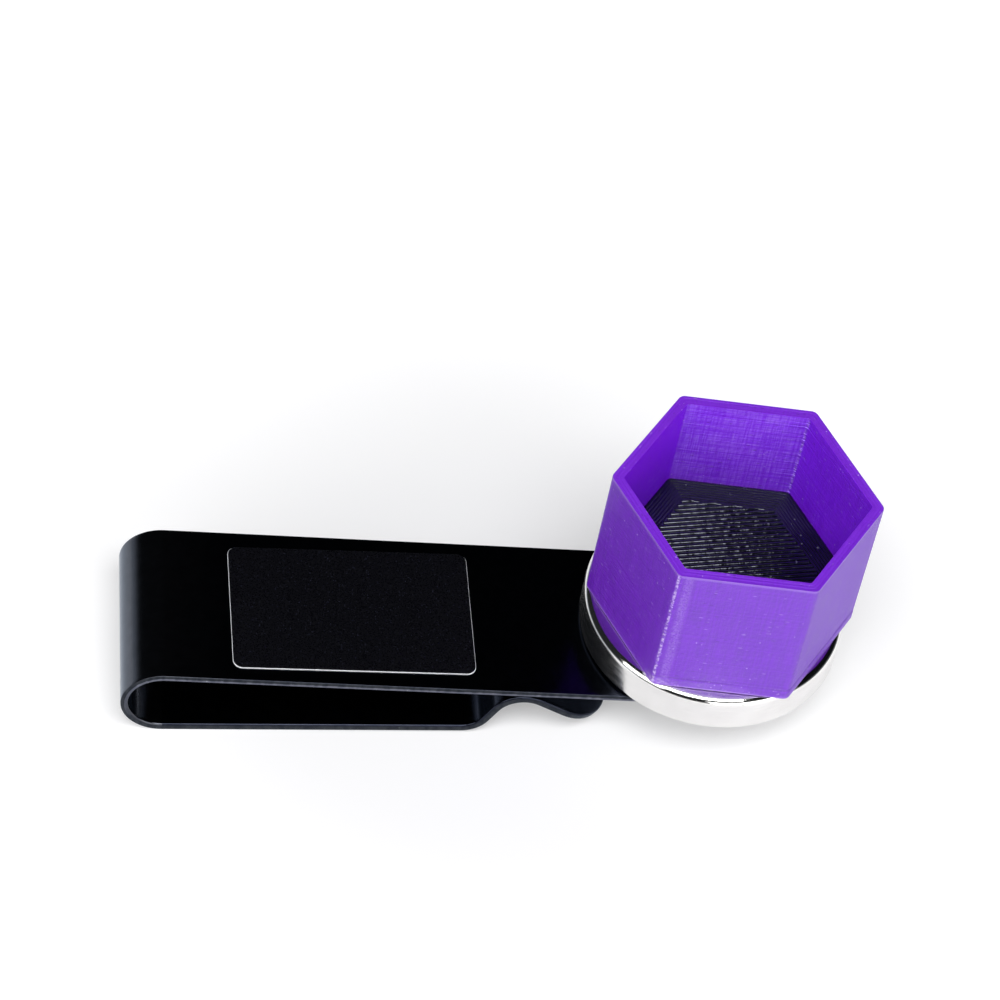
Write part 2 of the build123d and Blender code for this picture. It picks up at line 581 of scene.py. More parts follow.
# %% Rim and edge
burnished_round = 0.12
torn_round = 0.24
flat_margin = 0.4
clear_of_corner = 0.05
round_steps = 4
end_corner_steps = 14


def strip_rim(distances):
    """One side of a flat strip's rim, as rows of distance, across and the outward direction in both."""
    half, corner_start = strip_width / 2, distances[-1] - end_corner_radius
    straight = [distance for distance in distances if distance < corner_start - clear_of_corner]
    side = [(distance, half, 0.0, 1.0) for distance in straight + [corner_start]]
    for step in range(1, end_corner_steps + 1):
        swing = radians(90 * step / end_corner_steps)
        inwards = end_corner_radius * (1 - cos(swing))
        side.append((corner_start + end_corner_radius * sin(swing), half - inwards, sin(swing), cos(swing)))
    return np.array(side)


def edge_section():
    """Section of the sheet's edge from flat to flat, as rows of inset, height and how far it is cut."""
    swings = [radians(90 * step / round_steps) for step in range(round_steps + 1)]
    section = [(burnished_round + flat_margin, sheet / 2, 0.0)]
    for swing in swings:
        fall = burnished_round * (1 - cos(swing))
        section.append((burnished_round * (1 - sin(swing)), sheet / 2 - fall, sin(swing)))
    for swing in swings[::-1]:
        cut = 1.0 if swing == swings[-1] else 0.0
        section.append((torn_round * (1 - sin(swing)), torn_round * (1 - cos(swing)) - sheet / 2, cut))
    return section + [(torn_round + flat_margin, -sheet / 2, 0.0)]


print("points across the sheet's edge:", len(edge_section()))

# %% [markdown]
# The strip's skin
#
# Swept along the rim, the section gives the cut edge, and the two flats are filled between. The whole
# is wrapped along the walk, and every point gets the four numbers that the steel's finish reads.

# %% Strip helper
edge_light_from = 4.0
fade_length = 6.0


def strip_mesh(walk, outer_side, fold_length):
    """Points, faces and carried numbers of a strip; its fold's outside is above (1) or below (-1) it."""
    side, section = strip_rim(walk[:, 0]), edge_section()
    rim = np.concatenate([side, side[::-1] * (1, -1, 1, -1)])
    count, levels = len(rim), len(section)
    points = []
    for inset, height, _ in section:
        where = rim[:, :2] - inset * rim[:, 2:]
        points.append(wrap(walk, where[:, 0], where[:, 1], np.full(count, height * outer_side)))
    faces = []
    for level in range(levels - 1):
        for low in range(level * count, level * count + count - 1):
            faces.append((low, low + 1, low + count + 1, low + count))
    for level in (0, levels - 1):
        for at in range(len(side) - 1):
            first, second = level * count + at, level * count + count - 1 - at
            quad = (first, first + 1, second - 1, second)
            faces.append(quad[::-1] if level == 0 else quad)
    starts = [level * count for level in range(levels)]
    faces.append(starts + [start + count - 1 for start in starts[::-1]])
    heights, cuts = np.array(section)[:, 1], np.array(section)[:, 2]
    has_fold = fold_length > 0
    numbers = {
        "cut": np.repeat(cuts, count),
        "band": np.repeat((sheet / 2 - heights) / (sheet - torn_round), count),
        # Painted light: where the edge is painted as lit, off on the leaf, fading in past the bend's foot.
        "edge_in_light": np.tile(np.clip((rim[:, 0] - edge_light_from) / fade_length, 0, 1) * has_fold, levels),
        # Painted sheen: a mask over the fold, fading into the plate, where the coat is painted paler.
        "painted_fold_sheen": np.tile(np.clip(1 - (rim[:, 0] - fold_length) / fade_length, 0, 1) * has_fold, levels),
    }
    return np.concatenate(points), faces, numbers


print("numbers that a strip carries:", list(strip_mesh(plate_walk, 1, fold_length)[2]))

# %% [markdown]
# The clip's plate and bend
#
# Plate and bend are one mesh, as they are one piece of steel. Its faces are turned to look outwards,
# and where it meets the leaf it starts with a square cut, whose edge is kept crisp. When the clip is
# opened the bend gives. A rigid bend would break away from the leaf.

# %% Build the plate and bend
def make_strip(name, walk, outer_side, fold_length):
    """Strip piece with its numbers, facing outwards, with a crisp edge round the cut at its start."""
    points, faces, numbers = strip_mesh(walk, outer_side, fold_length)
    piece = make_piece(name, points, faces, clip_black)
    carry(piece.data, **numbers)
    shape = bmesh.new()
    shape.from_mesh(piece.data)
    shape.faces.ensure_lookup_table()
    for edge in shape.faces[-1].edges:
        edge.smooth = False
    bmesh.ops.recalc_face_normals(shape, faces=shape.faces)
    shape.to_mesh(piece.data)
    shape.free()
    return piece


plate_piece = make_strip("clip_plate_and_bend", plate_walk, 1, fold_length)
settle(plate_piece, "clip_black", "clip_plate", "clip_bend")
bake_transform(plate_piece)

# %% [markdown]
# The springy leaf
#
# Under the plate the strip runs back as a leaf, turns up at a knee, presses against the plate with a
# rounded crest and flares down in a lip that guides a belt in. It is a second walk from the same foot.
# The rise between knee and crest is as long as it takes for the crest to reach the plate.

# %% Build the leaf
leaf_flat = 33.9
knee_radius = 3.05
rise_angle = 62.8
crest_radius = 3.6
crest_gap = 0.1
lip_angle = 29.1
lip_length = 9.45

crest_middle = -sheet - crest_gap - sheet / 2
knee_climb = knee_radius * (cos(radians(leaf_closing)) - cos(radians(rise_angle)))
crest_climb = crest_radius * (1 - cos(radians(rise_angle)))
flat_climb = leaf_flat * sin(radians(leaf_closing))
rise_climb = crest_middle - leaf_start[1] - flat_climb - knee_climb - crest_climb
leaf_runs = [
    ("flat", leaf_flat),
    ("bend", knee_radius, rise_angle - leaf_closing),
    ("flat", rise_climb / sin(radians(rise_angle))),
    ("bend", crest_radius, -rise_angle - lip_angle),
    ("flat", lip_length),
]
leaf_walk = strip_walk(leaf_start, leaf_closing, leaf_runs)
leaf_piece = make_strip("clip_leaf_spring", leaf_walk, -1, 0.0)
settle(leaf_piece, "clip_black", "clip_leaf", body="leaf")
print("strip length along the middle, mm:", round(plate_walk[-1, 0] + leaf_walk[-1, 0], 1))

# %% [markdown]
# Vinyl, ink and adhesive
#
# The label is white vinyl with a black printed face under a thin clear skin. The skin has a fine tooth: a
# grain in its height and its gloss. Its faint sparkle is painted as specks a little paler than the ink,
# standing for glints. The adhesive under the film only shows from the side, so its CAD solid stays and
# takes a plain tacky finish.

# %% Finish the label
label_white, tree, shader = new_material("label_white", Specular_IOR_Level=0.5)
where = own_place(tree)
feed(
    shader,
    Base_Color=blend_colour(grain(where, 1800.0), (0.80, 0.82, 0.86), (0.92, 0.94, 0.97)),
    Roughness=between(grain(where, 3000.0), 0.34, 0.5),
)

label_black, tree, shader = new_material("label_black", Specular_IOR_Level=0.5)
where = own_place(tree)
tooth = grain(where, 6500.0)
# Painted highlight: paler specks in the ink stand for the skin's glints.
painted_sparkle = specks(where, 5200.0, 0.30) * between(grain(where, 700.0), 0.25, 1)
ink = blend_colour(tooth, (0.0005, 0.0005, 0.0014), (0.0015, 0.0015, 0.0032))
feed(
    shader,
    Base_Color=blend_colour(painted_sparkle, ink, (0.030, 0.032, 0.055)),
    Roughness=between(tooth, 0.26, 0.38),
    Normal=relief(tooth, 2e-6),
)

label_adhesive, tree, shader = new_material("label_adhesive", Roughness=0.45)
tacky = grain(own_place(tree), 1200.0)
feed(shader, Base_Color=blend_colour(tacky, (0.55, 0.55, 0.51), (0.70, 0.70, 0.66)))
frame["nodes"]["label_adhesive"].data.materials.clear()
frame["nodes"]["label_adhesive"].data.materials.append(label_adhesive)
print("finishes:", label_white.name, label_black.name, label_adhesive.name)

# %% [markdown]
# The label
#
# A plotter cuts the label out and a hand sticks it on, a little askew. Film and print are two thin sheets
# with softly rounded upper edges. The printed face is a touch smaller, so at the cut the white film shows
# as a thin line, a little wider on the near side than on the far one, since print and cut never quite
# line up.

# %% Build the label
label_size = (27.6, 17.6)
label_middle = (-41.2, -0.05)
label_skew = radians(1.1)
label_corner = 1.1
film_bottom, film_top, print_top = 0.04, 0.14, 0.18
no_margins, print_margins = (0, 0, 0, 0), (0.05, 0.04, 0.06, 0.01)
under_margin, top_margin = 0.3, 0.25
film_edge, print_edge = 0.03, 0.02


def label_sheet(name, margins, bottom, top, soft_edge, material):
    """Rounded sheet of the label with a soft upper edge, smaller by margins left, right, near and far."""
    left, right, near, far = margins
    half_long, half_wide = label_size[0] / 2, label_size[1] / 2
    low_x, high_x, low_y, high_y = left - half_long, half_long - right, near - half_wide, half_wide - far
    corners = [(low_x, low_y), (high_x, low_y), (high_x, high_y), (low_x, high_y)]
    turn = np.array([[cos(label_skew), -sin(label_skew)], [sin(label_skew), cos(label_skew)]])
    placed = [turn @ np.array(corner) + label_middle for corner in corners]
    outline = rounded_polygon(placed, label_corner, side_steps=4, corner_steps=10)
    swings = [radians(step * 30) for step in range(4)]
    rounded = [(soft_edge * (1 - cos(swing)), top - soft_edge * (1 - sin(swing))) for swing in swings]
    levels = [(under_margin, bottom), (0, bottom)] + rounded + [(soft_edge + top_margin, top)]
    points, faces = skin([ring(outline, inset, height) for inset, height in levels])
    return make_piece(name, points, faces, material)


film_piece = label_sheet("label_film_sheet", no_margins, film_bottom, film_top, film_edge, label_white)
settle(film_piece, "label_white", "label_film", body="clip")
print_piece = label_sheet(
    "label_printed_face", print_margins, film_top, print_top, print_edge, label_black
)
settle(print_piece, "label_black", "label_print", body="clip")

# %% [markdown]
# Nickel plating
#
# A neodymium disc is pressed, ground and nickel-plated. Nickel mirrors whatever is near: the black plate
# on its left, the pale table in front, the purple cup on its flat. The ground side smears those
# reflections along the grinding marks, which the shader's anisotropy does. The rounded edges and the
# flats, which tumbling polished, mirror more crisply. A slight waviness of the plating breaks all of it
# up.

# %% Finish the nickel
nickel, tree, shader = new_material("nickel", Metallic=1.0, Anisotropic=0.85, Anisotropic_Rotation=0.25)
where = own_place(tree)
grinding = grain(stretched(where, (0.10, 0.10, 1.0)), 3200.0)
orange_peel = grain(where, 1300.0)
polished = between(carried(tree, "tumbled"), 0, 1, 0.1, 0.6)
feed(
    shader,
    Base_Color=blend_colour(grain(where, 250.0), (0.78, 0.77, 0.755), (0.84, 0.83, 0.815)),
    Roughness=blend_number(polished, between(grinding, 0.20, 0.26), 0.11),
    Normal=relief(grinding * 0.10 + orange_peel, 2.4e-6),
)
print("finish:", nickel.name)

# %% [markdown]
# The disc magnet
#
# The disc is a stack of rings, close together where its two edges are tumbled round so that the plating
# holds. Each ring carries how far it has turned from the side to the flat, which tells the finish where
# the polish is.

# %% Build the magnet
magnet_radius = 15.0
magnet_edge = 0.87
magnet_sides = 180
past_edge = 0.6

turns = np.linspace(0, 2 * pi, magnet_sides, endpoint=False)
directions = np.column_stack([np.cos(turns), np.sin(turns)])
edge_swings = [radians(step * 10) for step in range(10)]
lower_edge = [(magnet_edge * (1 - sin(swing)), magnet_edge * (1 - cos(swing))) for swing in edge_swings]
upper_edge = [(inset, magnet_thickness - height) for inset, height in lower_edge[::-1]]
flat_inset = magnet_edge + past_edge
magnet_levels = [(flat_inset, 0.0)] + lower_edge + upper_edge + [(flat_inset, magnet_thickness)]
magnet_outline = (directions * magnet_radius, directions)
points, faces = skin([ring(magnet_outline, inset, height) for inset, height in magnet_levels])
magnet_piece = make_piece("magnet_plated_disc", points, faces, nickel)
edge_polish = [cos(swing) for swing in edge_swings]
carry(magnet_piece.data, tumbled=np.repeat([1.0] + edge_polish + edge_polish[::-1] + [1.0], magnet_sides))
settle(magnet_piece, "nickel", "magnet_disc", body="magnet")

# %% [markdown]
# Purple plastic: layers and dashes
#
# The cup is printed from one purple filament, layer on layer. Its walls therefore carry fine level lines,
# some layers a touch paler than others, and a faint upright ripple from the printer's shake. Short
# dashes, dark or pale, mark where a bead ran thin or thick. The mesh's own map holds millimetres along
# the wall from the seam and up it, so the lines keep to the layers. The map's height runs on over the rim
# and down the inside.

# %% Read the print's map
layer_height = 0.21
rim_map, inside_map = 30.0, 60.0
rim_begins, inside_begins = rim_map - 5, inside_map - 10
cup_height = 18.9

cup_purple, tree, shader = new_material("cup_purple", Specular_IOR_Level=0.85)
where = own_place(tree)
wall_map = put(tree, "ShaderNodeSeparateXYZ", {0: put(tree, "ShaderNodeUVMap", uv_map="print")}).outputs
along, up = Reading(wall_map["X"]), Reading(wall_map["Y"])
outer_wall = up < rim_begins
inner_wall = up > inside_begins
on_rim = (up > rim_begins) * (up < inside_begins)
layers_up = up / layer_height
layer_tone = grain(vector(tree, X=along * 0.16, Y=layers_up), 0.9)
ripple = grain(vector(tree, X=along * 4.2, Y=up * 0.22), 0.9)
dark_dashes = specks(vector(tree, X=along * 1.3, Y=layers_up), 0.9, 0.10)
pale_dashes = specks(vector(tree, X=along * 1.3 + 41.0, Y=layers_up, Z=7.3), 0.9, 0.12) * 0.45
lint = most(pale_dashes, specks(where, 3300.0, 0.02))
print("layers up the wall:", round(cup_height / layer_height))

# %% [markdown]
# Purple plastic: pale places
#
# Where each loop starts and ends there is a seam of small beads, their highlights painted pale, with a
# chalky strip beside it. Glue that was squeezed out dried to a haze low down by the seam. The foot of the
# front and right walls was pressed wide and is fuzzy. On the back wall inside, layers and ripple cross like
# a weave whose highlights are painted pale, and pale highlights are painted along the outside's top and
# bottom edges. All of these are masks, and the palest one at a point wins.

# %% Mark the pale places
seam_strip = 1.7
foot_height = 1.4
front_right_end = 30.0
foot_fades_in, foot_fades_out = 0.4, 1.0
outline_end = 92.0
back_wall_width = 13.6

on_seam = between(carried(tree, "seam_gap"), 1, 0, 0.08, 0.24)
bead_spots = grain(where, 2900.0)
# Painted highlight: the seam's beads are painted pale, less so inside, for the light they catch.
seam_highlight_strength = inner_wall * -0.45 + 0.75
beads = on_seam * seam_highlight_strength * between(bead_spots, 0.1, 1.0, 0.3, 0.8)
beside_seam = between(along, 0, 1, 0.55, 0.95) * between(along, 1, 0, seam_strip - 0.3, seam_strip + 0.3)
chalky = beside_seam * outer_wall * grain(where, 5200.0) * 0.22
haze_along = most(between(along, 1, 0, 0.4, 3.4), between(along, 0, 1, outline_end - 1.5, outline_end))
haze_low = between(up, 1, 0, 0.3, 1.7) * outer_wall
glue_haze = haze_along * haze_low * between(bead_spots, 0.2, 0.7)
foot_front = between(along, 1, 0, front_right_end, front_right_end + foot_fades_out) * outer_wall
fuzz = specks(where, 3000.0, 0.3) * between(up, 1, 0, 0.9, 1.7) * foot_front * 0.5
back_wall = inner_wall * between(along, 1, 0, back_wall_width, back_wall_width + 0.6)
# Painted highlight: the back wall's weave is painted pale where bead flanks catch the front light.
painted_weave_highlight = ripple * layer_tone * back_wall * 0.24
# Painted highlights: a pale line along the top layers and along the foot edge of the outside walls.
painted_top_highlight = between(up, 0, 0.22, cup_height - 0.45, cup_height - 0.15)
painted_edge_highlights = most(painted_top_highlight, between(up, 0.25, 0, 0.1, 0.35)) * outer_wall
pale = most(chalky, beads, lint * 0.6, fuzz, glue_haze, painted_weave_highlight, painted_edge_highlights)
print("masks so far:", len(tree.nodes), "nodes")

# %% [markdown]
# Purple plastic: colour
#
# The inside of the cup, where walls light one another and light comes out again through the plastic, is
# given a brighter purple as painted light, and the rim a little of it. A thin groove runs above the
# squeezed foot, with its shade painted darker. The layers and the ripple also make a relief, but a faint
# one, since the beads themselves will be real geometry.

# %% Colour the purple plastic
tone = layer_tone * 0.34 + ripple * (inner_wall * 0.3 + 0.5)
outside_purple = blend_colour(tone, (0.130, 0.004, 0.490), (0.192, 0.014, 0.635))
# Painted light: a brighter purple for the inside, for the light the walls throw on one another.
painted_glow_purple = blend_colour(tone, (0.185, 0.004, 0.760), (0.230, 0.010, 0.860))
purple = blend_colour(on_rim * 0.45 + inner_wall, outside_purple, painted_glow_purple)
purple = blend_colour(dark_dashes * 0.6, purple, (0.075, 0.002, 0.330))
# Painted shade: the thin groove above the squeezed foot is painted darker.
painted_groove_shade = between(abs(up - foot_height), 1, 0, 0.06, 0.2)
purple = blend_colour(painted_groove_shade * foot_front * layer_tone * 0.5, purple, (0.030, 0.001, 0.130))
feed(
    shader,
    Base_Color=blend_colour(pale, purple, (0.62, 0.46, 0.88)),
    Roughness=on_rim * 0.22 + between(tone, 0.30, 0.42),
    Normal=relief(tone, 1e-5),
)
print("finish:", cup_purple.name)

# %% [markdown]
# The cup's outlines
#
# The pocket takes a hexagonal chalk 24 mm across its flats with a little clearance, and the wall is
# three beads wide. The cup was glued on by hand, so it is turned a little and off the magnet's middle.
# Both outlines start at the front left corner, where the seam runs up the outside.

# %% Lay out the cup's outlines
chalk_across_flats = 24.0
chalk_clearance = 0.15
cup_wall = 1.24
cup_floor = 1.4
cup_corner = 0.9
pocket_corner = 0.4
cup_turn = radians(-5.2)
cup_middle = np.array([0.5, -0.1])
bond_thickness = 0.1
insert_height = 4.9
insert_clearance = 0.1
cup_base = magnet_thickness + bond_thickness
insert_top = cup_base + cup_floor + insert_height
pocket_across_flats = chalk_across_flats + 2 * chalk_clearance
cup_across_flats = pocket_across_flats + 2 * cup_wall
front_left, back_right = 4, 1


def hexagon(across_flats, corner_radius, first_corner, side_steps=6, corner_steps=6):
    """Rounded hexagon where the cup stands; its outline's first corner is counted from the right."""
    reach = across_flats / 2 / cos(pi / 6)
    angles = [cup_turn + (first_corner + index) * pi / 3 for index in range(6)]
    corners = [cup_middle + reach * np.array([cos(angle), sin(angle)]) for angle in angles]
    return rounded_polygon(corners, corner_radius, side_steps, corner_steps)


outside = hexagon(cup_across_flats, cup_corner, front_left)
inside = hexagon(pocket_across_flats, pocket_corner, front_left)
around = len(outside[0])
print("cup, mm across flats outside:", round(cup_across_flats, 2), "inside:", round(pocket_across_flats, 2))

# %% [markdown]
# The cup's plain skin
#
# The cup's shape follows a rule: beads of plastic laid on one another, round and round. So a plain skin
# is made first, with five rings to a layer: up the outside, over the rim and down the inside to below
# the insert. Each point carries which way its wall faces, how many beads it is up, and how far it is
# from the seam, which lies at the front left corner outside and at the back right corner inside.

# %% Stack the cup's rings
layers = round(cup_height / layer_height)
hidden_layers = int((insert_top - cup_base) / layer_height) - 2
rim_beads = 3
bead_places = [0.0, 0.14, 0.375, 0.625, 0.86]
far_from_seam = 99.0
foot_inset = 0.5
OUTER, RIM, INNER = 0, 1, 2


def bead_steps(first, last):
    """Heights of the rings from one bead to another, counted in beads."""
    return [bead + place for bead in range(first, last) for place in bead_places]


outward = np.column_stack([outside[1], np.zeros(around)])
inward = -np.column_stack([inside[1], np.zeros(around)])
upward = np.tile([0.0, 0.0, 1.0], (around, 1))
outside_along = outside[2][:-1]
outside_gap = np.minimum(outside_along, outside[2][-1] - outside_along)
inside_along = np.roll(hexagon(pocket_across_flats, pocket_corner, back_right)[2][:-1], around // 2)
inside_gap = np.minimum(inside_along, inside[2][-1] - inside_along)
inside_round = np.concatenate([inside_along, [inside_along[-1] + inside[2][-1] - inside[2][-2]]])
no_seam = np.full(around, far_from_seam)

# A row is one ring: points, push, beads up, kind of wall, gap to the seam, map along and map up.
foot_ring = ring(outside, foot_inset, cup_base)
cup_rows = [(foot_ring, outward * 0, 0, OUTER, no_seam, outside[2], -foot_inset)]
for beads_up in bead_steps(0, layers) + [layers]:
    rise = beads_up * layer_height
    level = ring(outside, 0, cup_base + rise)
    cup_rows.append((level, outward, beads_up, OUTER, outside_gap, outside[2], rise))
for beads_in in bead_steps(0, rim_beads)[1:]:
    share = beads_in / rim_beads
    flat = outside[0] * (1 - share) + inside[0] * share
    level = np.column_stack([flat, np.full(around, cup_base + cup_height)])
    cup_rows.append((level, upward, beads_in, RIM, no_seam, outside[2], rim_map + share * cup_wall))
for beads_up in (bead_steps(hidden_layers, layers) + [layers])[::-1]:
    rise = beads_up * layer_height
    level = ring(inside, 0, cup_base + rise)
    cup_rows.append((level, inward, beads_up, INNER, inside_gap, inside_round, inside_map + rise))
floor_ring = ring(inside, 0, cup_base + cup_floor)
cup_rows.append((floor_ring, inward * 0, 0, INNER, no_seam, inside_round, inside_map + cup_floor))
cup_rings, pushes, beads_up_wall, wall_kinds, seam_gaps, map_along, map_up = zip(*cup_rows)
print("cup layers:", layers, "rings:", len(cup_rings), "points in a ring:", around)

# %% [markdown]
# Trees that make shapes
#
# A Geometry Nodes tree takes a mesh in and puts a new one out. It is the way to write down a rule once
# and let it work on every point. The helpers start such a tree with its named inputs, read a number
# that the mesh carries, and draw a random value that is the same on every run. A tree ends by making
# its copies real and setting the finish, so that a plain mesh comes out.

# %% Helpers for geometry trees
SHAPE, PAINT = "NodeSocketGeometry", "NodeSocketMaterial"


def new_rule(name, **inputs):
    """Geometry tree with named inputs after the geometry that comes in."""
    return new_tree(name, "GeometryNodeTree", "Geometry", SHAPE, Geometry=SHAPE, **inputs)


def end_rule(geometry, finish, end):
    """Close a tree: real geometry instead of instances, with its finish on it."""
    real = put(geometry.tree, "GeometryNodeRealizeInstances", {0: geometry})
    painted = put(geometry.tree, "GeometryNodeSetMaterial", {"Geometry": real, "Material": finish})
    feed(end, Geometry=Reading(painted))


def named(tree, name, kind="FLOAT"):
    """What the mesh carries under a name, for a geometry tree."""
    node = put(tree, "GeometryNodeInputNamedAttribute", {"Name": name}, data_type=kind)
    return Reading(node.outputs["Attribute"])


def by_luck(low, high, number, seed):
    """Random value between two limits, the same for the same number and seed."""
    inputs = {2: low, 3: high, "ID": number, "Seed": seed}
    return Reading(put(number.tree, "FunctionNodeRandomValue", inputs, data_type="FLOAT").outputs[1])


print("helpers for trees:", [helper.__name__ for helper in (new_rule, end_rule, named, by_luck)])

# %% [markdown]
# The bead rule
#
# The cup's tree reads the numbers by name and moves every point. A bead is a half round, so a point
# sinks towards the line between two layers. Each layer is shifted a little by its own random value and
# the seam swells by another, and near the foot the first layers were squeezed wide under a thin groove.
# The tree's inputs are the printer's sizes, and its seed keeps the same unevenness on every run.

# %% Build the bead rule
just_above = 0.001
walls_apart = 1000.0
groove_core, groove_end = 0.05, 0.22
bead_rule, given, end = new_rule(
    "printed_beads",
    Layer_Height=NUMBER,
    Bead_Depth=NUMBER,
    Layer_Shift=NUMBER,
    Seam_Size=NUMBER,
    Seam_Reach=NUMBER,
    Foot_Height=NUMBER,
    Foot_Flare=NUMBER,
    Groove_Depth=NUMBER,
    Seed=WHOLE,
    Finish=PAINT,
)
beads_up = named(bead_rule, "beads_up") + just_above
kind = named(bead_rule, "wall_kind")
off_middle = beads_up.math("FRACT") * 2.0 - 1.0
half_round = (off_middle * off_middle * -1.0 + 1.0).math("SQRT")
sunk = (half_round - 1.0) * given["Bead Depth"]
bead_number = kind * walls_apart + beads_up.math("FLOOR")
shift = by_luck(-1.0, 1.0, bead_number, given["Seed"]) * given["Layer Shift"]
seam_near = between(named(bead_rule, "seam_gap") / given["Seam Reach"], 1.0, 0.0)
seam = seam_near * by_luck(-0.25, 1.0, bead_number, given["Seed"] + 1.0) * given["Seam Size"]
from_groove = beads_up * given["Layer Height"] - given["Foot Height"]
flare = (from_groove < 0.0) * given["Foot Flare"]
groove = between(abs(from_groove), 1.0, 0.0, groove_core, groove_end) * given["Groove Depth"]
foot = (kind < 0.5) * named(bead_rule, "squeezed_foot") * (flare - groove)
push = vector_sum("SCALE", named(bead_rule, "push", "FLOAT_VECTOR"), sunk + shift + seam + foot)
laid = put(bead_rule, "GeometryNodeSetPosition", {"Geometry": given["Geometry"], "Offset": push})
end_rule(Reading(laid), given["Finish"], end)
print("bead rule:", len(bead_rule.nodes), "nodes")

# %% [markdown]
# From a rule to a plain mesh
#
# A tree runs as a modifier on a piece. Its inputs are set by their identifiers, which is how a modifier
# keeps them. The result is kept as a plain mesh and the modifier is taken off again, because a finished
# piece has to be the same mesh for every program that reads it.

# %% Helper that runs a rule
def run_rule(piece, tree, **inputs):
    """Run a geometry tree on a piece with named inputs and keep the result as the piece's plain mesh."""
    modifier = piece.modifiers.new(tree.name, "NODES")
    modifier.node_group = tree
    for item in tree.interface.items_tree:
        label = item.name.replace(" ", "_")
        if item.in_out == "INPUT" and label in inputs:
            modifier[item.identifier] = inputs[label]
    graph = bpy.context.evaluated_depsgraph_get()
    made = bpy.data.meshes.new_from_object(piece.evaluated_get(graph))
    piece.modifiers.remove(modifier)
    piece.data = made


rule_inputs = [item.name for item in bead_rule.interface.items_tree if item.in_out == "INPUT"]
print("the bead rule takes:", rule_inputs)

# %% [markdown]
# Printing the cup
#
# The plain skin becomes a mesh with its map and its numbers. The lines between two layers are marked as
# sharp edges, so that every bead is shaded round up to its own crease. Then the rule runs.

# %% Print the cup
def print_map(faces):
    """Map of the cup's skin: millimetres along the wall and up it, for every face corner in turn."""
    places = []
    for level in range(len(cup_rings) - 1):
        start_u, end_u = map_along[level][:-1], map_along[level][1:]
        low, high = np.full(around, map_up[level]), np.full(around, map_up[level + 1])
        places.append(np.stack([start_u, low, end_u, low, end_u, high, start_u, high], axis=1).reshape(-1))
    ends = np.zeros(2 * sum(len(face) for face in faces[-2:]))
    return np.concatenate(places + [ends])


points, faces = skin(cup_rings)
cup_piece = make_piece("cup_printed_shell", points, faces, cup_purple)
cup_mesh = cup_piece.data
cup_mesh.uv_layers.new(name="print").data.foreach_set("uv", print_map(faces))
push_data = cup_mesh.attributes.new("push", "FLOAT_VECTOR", "POINT").data
push_data.foreach_set("vector", np.concatenate(pushes).ravel())
foot_places = [0, foot_fades_in, front_right_end, front_right_end + foot_fades_out]
squeezed_here = np.interp(outside_along, foot_places, [0, 1, 1, 0])
carry(
    cup_mesh,
    beads_up=np.repeat(beads_up_wall, around),
    wall_kind=np.repeat(wall_kinds, around),
    seam_gap=np.concatenate(seam_gaps),
    squeezed_foot=np.tile(squeezed_here, len(cup_rings)),
)
creases = [index for index, beads in enumerate(beads_up_wall) if float(beads).is_integer()]
edge_ends = np.zeros(2 * len(cup_mesh.edges), int)
cup_mesh.edges.foreach_get("vertices", edge_ends)
edge_rings = edge_ends.reshape(-1, 2) // around
crisp = (edge_rings[:, 0] == edge_rings[:, 1]) & np.isin(edge_rings[:, 0], creases)
cup_mesh.attributes.new("sharp_edge", "BOOLEAN", "EDGE").data.foreach_set("value", crisp)
run_rule(
    cup_piece,
    bead_rule,
    Layer_Height=layer_height,
    Bead_Depth=0.035,
    Layer_Shift=0.005,
    Seam_Size=0.11,
    Seam_Reach=0.26,
    Foot_Height=foot_height,
    Foot_Flare=0.06,
    Groove_Depth=0.05,
    Seed=7,
    Finish=cup_purple,
)
settle(cup_piece, "cup_purple", "cup_shell", body="cup")

# %% [markdown]
# The black insert's block
#
# A black block fills the lower part of the pocket so that the chalk stands proud. Its plastic is glossy
# and nearly black, with a few pale crumbs. The block itself is a plain hexagon that ends a bead's height
# below its top, where the printed lines will lie.

# %% Finish the insert and build its block
insert_tint = (0.80, 0.84, 1.0, 1)
insert_black, tree, shader = new_material("insert_black", Specular_IOR_Level=1.0, Specular_Tint=insert_tint)
where = own_place(tree)
carbon = blend_colour(grain(where, 1500.0), (0.0022, 0.0024, 0.0050), (0.0055, 0.0056, 0.0095))
feed(
    shader,
    Base_Color=blend_colour(specks(where, 2200.0, 0.05), carbon, (0.10, 0.10, 0.13)),
    Roughness=between(grain(where, 2600.0), 0.05, 0.09),
    Normal=relief(grain(where, 1800.0), 2e-6),
)

bead_rise = 0.20
block_lift = 0.02
under_inset, soft_inset, top_inset = 0.4, 0.1, 0.5
insert_across_flats = pocket_across_flats - 2 * insert_clearance
insert_corner = pocket_corner - insert_clearance
insert_outline = hexagon(insert_across_flats, insert_corner, 0, side_steps=2, corner_steps=3)
insert_base, block_side_top = cup_base + cup_floor, insert_top - bead_rise
block_top = block_side_top + block_lift
block_levels = [(under_inset, insert_base), (0, insert_base), (0, block_side_top)]
block_levels += [(soft_inset, block_top), (top_inset, block_top)]
points, faces = skin([ring(insert_outline, inset, height) for inset, height in block_levels])
insert_piece = make_piece("cup_insert_block", points, faces, insert_black)
print("insert, mm across flats:", round(insert_across_flats, 2), "block top:", round(block_top, 2))

# %% [markdown]
# Tracks on the insert
#
# The insert's top shows how it was printed: a few loops along the hexagon's sides, and inside them
# straight lines laid side by side. A second tree lays both as curves, so that their number, pitch and
# angle stay inputs. Three helpers turn geometry, repeat a shape on points and space a curve's points.

